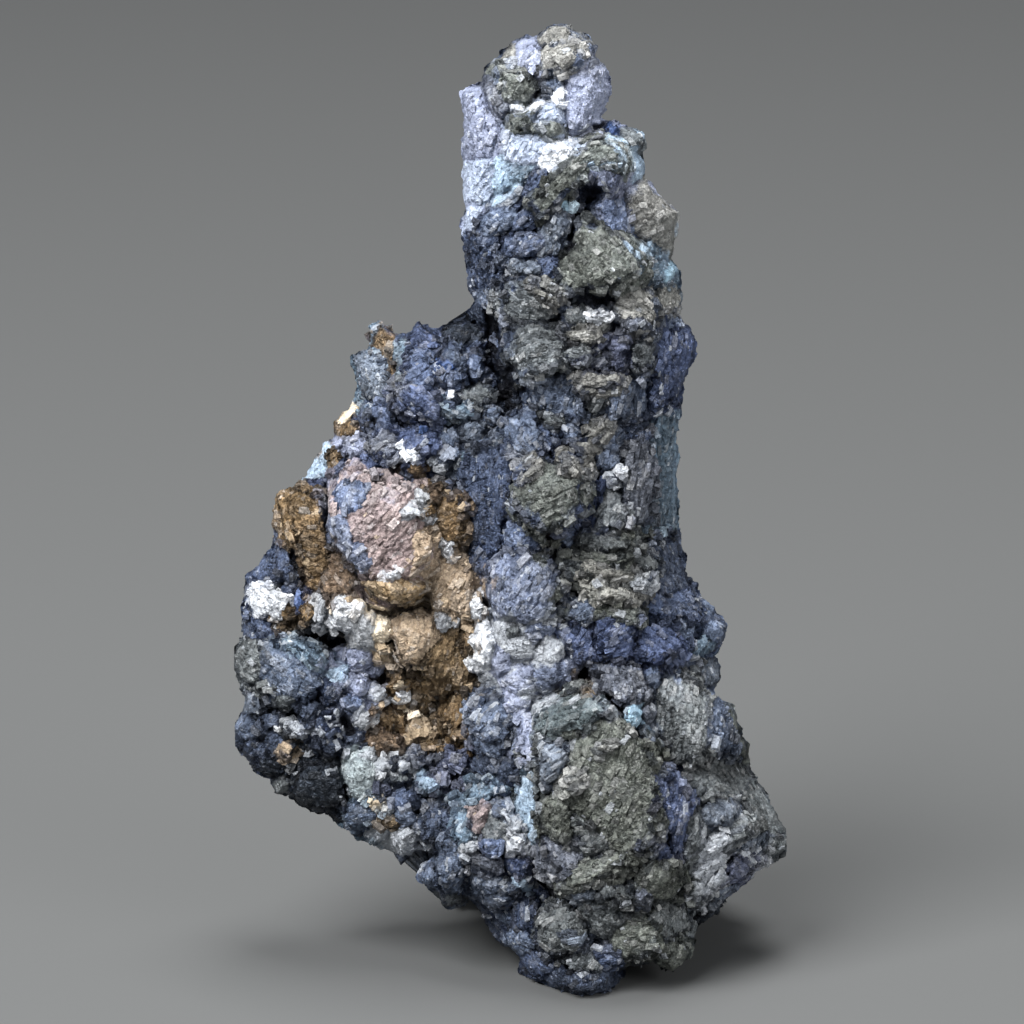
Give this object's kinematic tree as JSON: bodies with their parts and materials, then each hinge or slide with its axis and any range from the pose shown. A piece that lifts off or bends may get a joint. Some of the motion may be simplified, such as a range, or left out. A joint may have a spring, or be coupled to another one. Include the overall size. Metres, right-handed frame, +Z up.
{
  "type": "chalcocite mineral specimen",
  "caption": "Upright chalcocite specimen: a tall tower of intergrown blocky crystals with a lobe at its left, on a small flat spot, for display.",
  "frame": {"origin": "on the floor under the middle of the specimen's plan, on the plane of the flat spot it stands on", "axes": "+Z up the tower, its longest extent; -Y out of the pictured front; +X to the right as seen from the front, the lobe on -X"},
  "size_m": [0.0472, 0.0344, 0.0807],
  "materials": {
    "tarnished_chalcocite": "dull metallic, grainy, steel grey tarnished indigo blue with bronze patches"
  },
  "bodies": {
    "root": {"chalcocite": "tarnished_chalcocite"}
  },
  "joints": []
}
